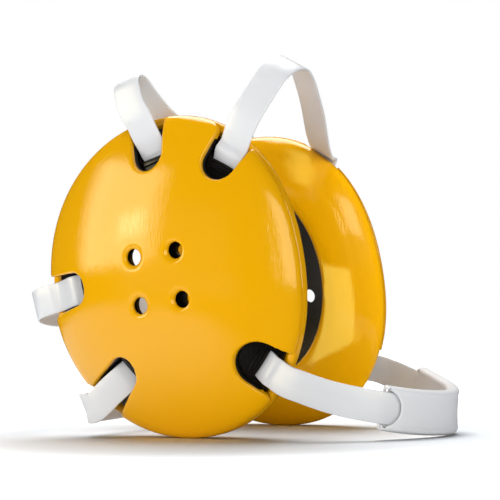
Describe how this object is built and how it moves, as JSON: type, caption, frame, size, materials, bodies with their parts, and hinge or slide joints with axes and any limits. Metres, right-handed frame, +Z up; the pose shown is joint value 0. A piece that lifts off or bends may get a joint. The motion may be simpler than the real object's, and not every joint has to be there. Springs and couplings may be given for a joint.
{
  "type": "wrestling ear guard",
  "caption": "Pair of domed, padded ear cups with vents, notches and a thick ear ring, joined by white head straps and a chin strap with a moulded chin pad.",
  "frame": {"origin": "on the floor, under the middle of the whole guard", "axes": "+X from the wearer's right ear to the left ear, -Y the way the face looks, +Z up"},
  "size_m": [0.1346, 0.2204, 0.176],
  "materials": {
    "outer_pad": "glossy yellow vinyl skin over foam, with fine wrinkles",
    "frame": "black moulded plastic, satin",
    "inner_pad": "glossy yellow vinyl skin over thick foam, black inside the ear opening",
    "strap": "smooth white coated webbing, satin",
    "chin_pad": "soft white moulded plastic, satin"
  },
  "bodies": {
    "root": {"right_outer_pad": "outer_pad", "left_outer_pad": "outer_pad", "right_frame": "frame", "left_frame": "frame", "right_inner_pad": "inner_pad", "left_inner_pad": "inner_pad", "front_crown_strap": "strap", "rear_crown_strap": "strap", "rear_upper_strap": "strap", "rear_lower_strap": "strap", "chin_strap": "strap", "chin_pad": "chin_pad"}
  },
  "joints": []
}
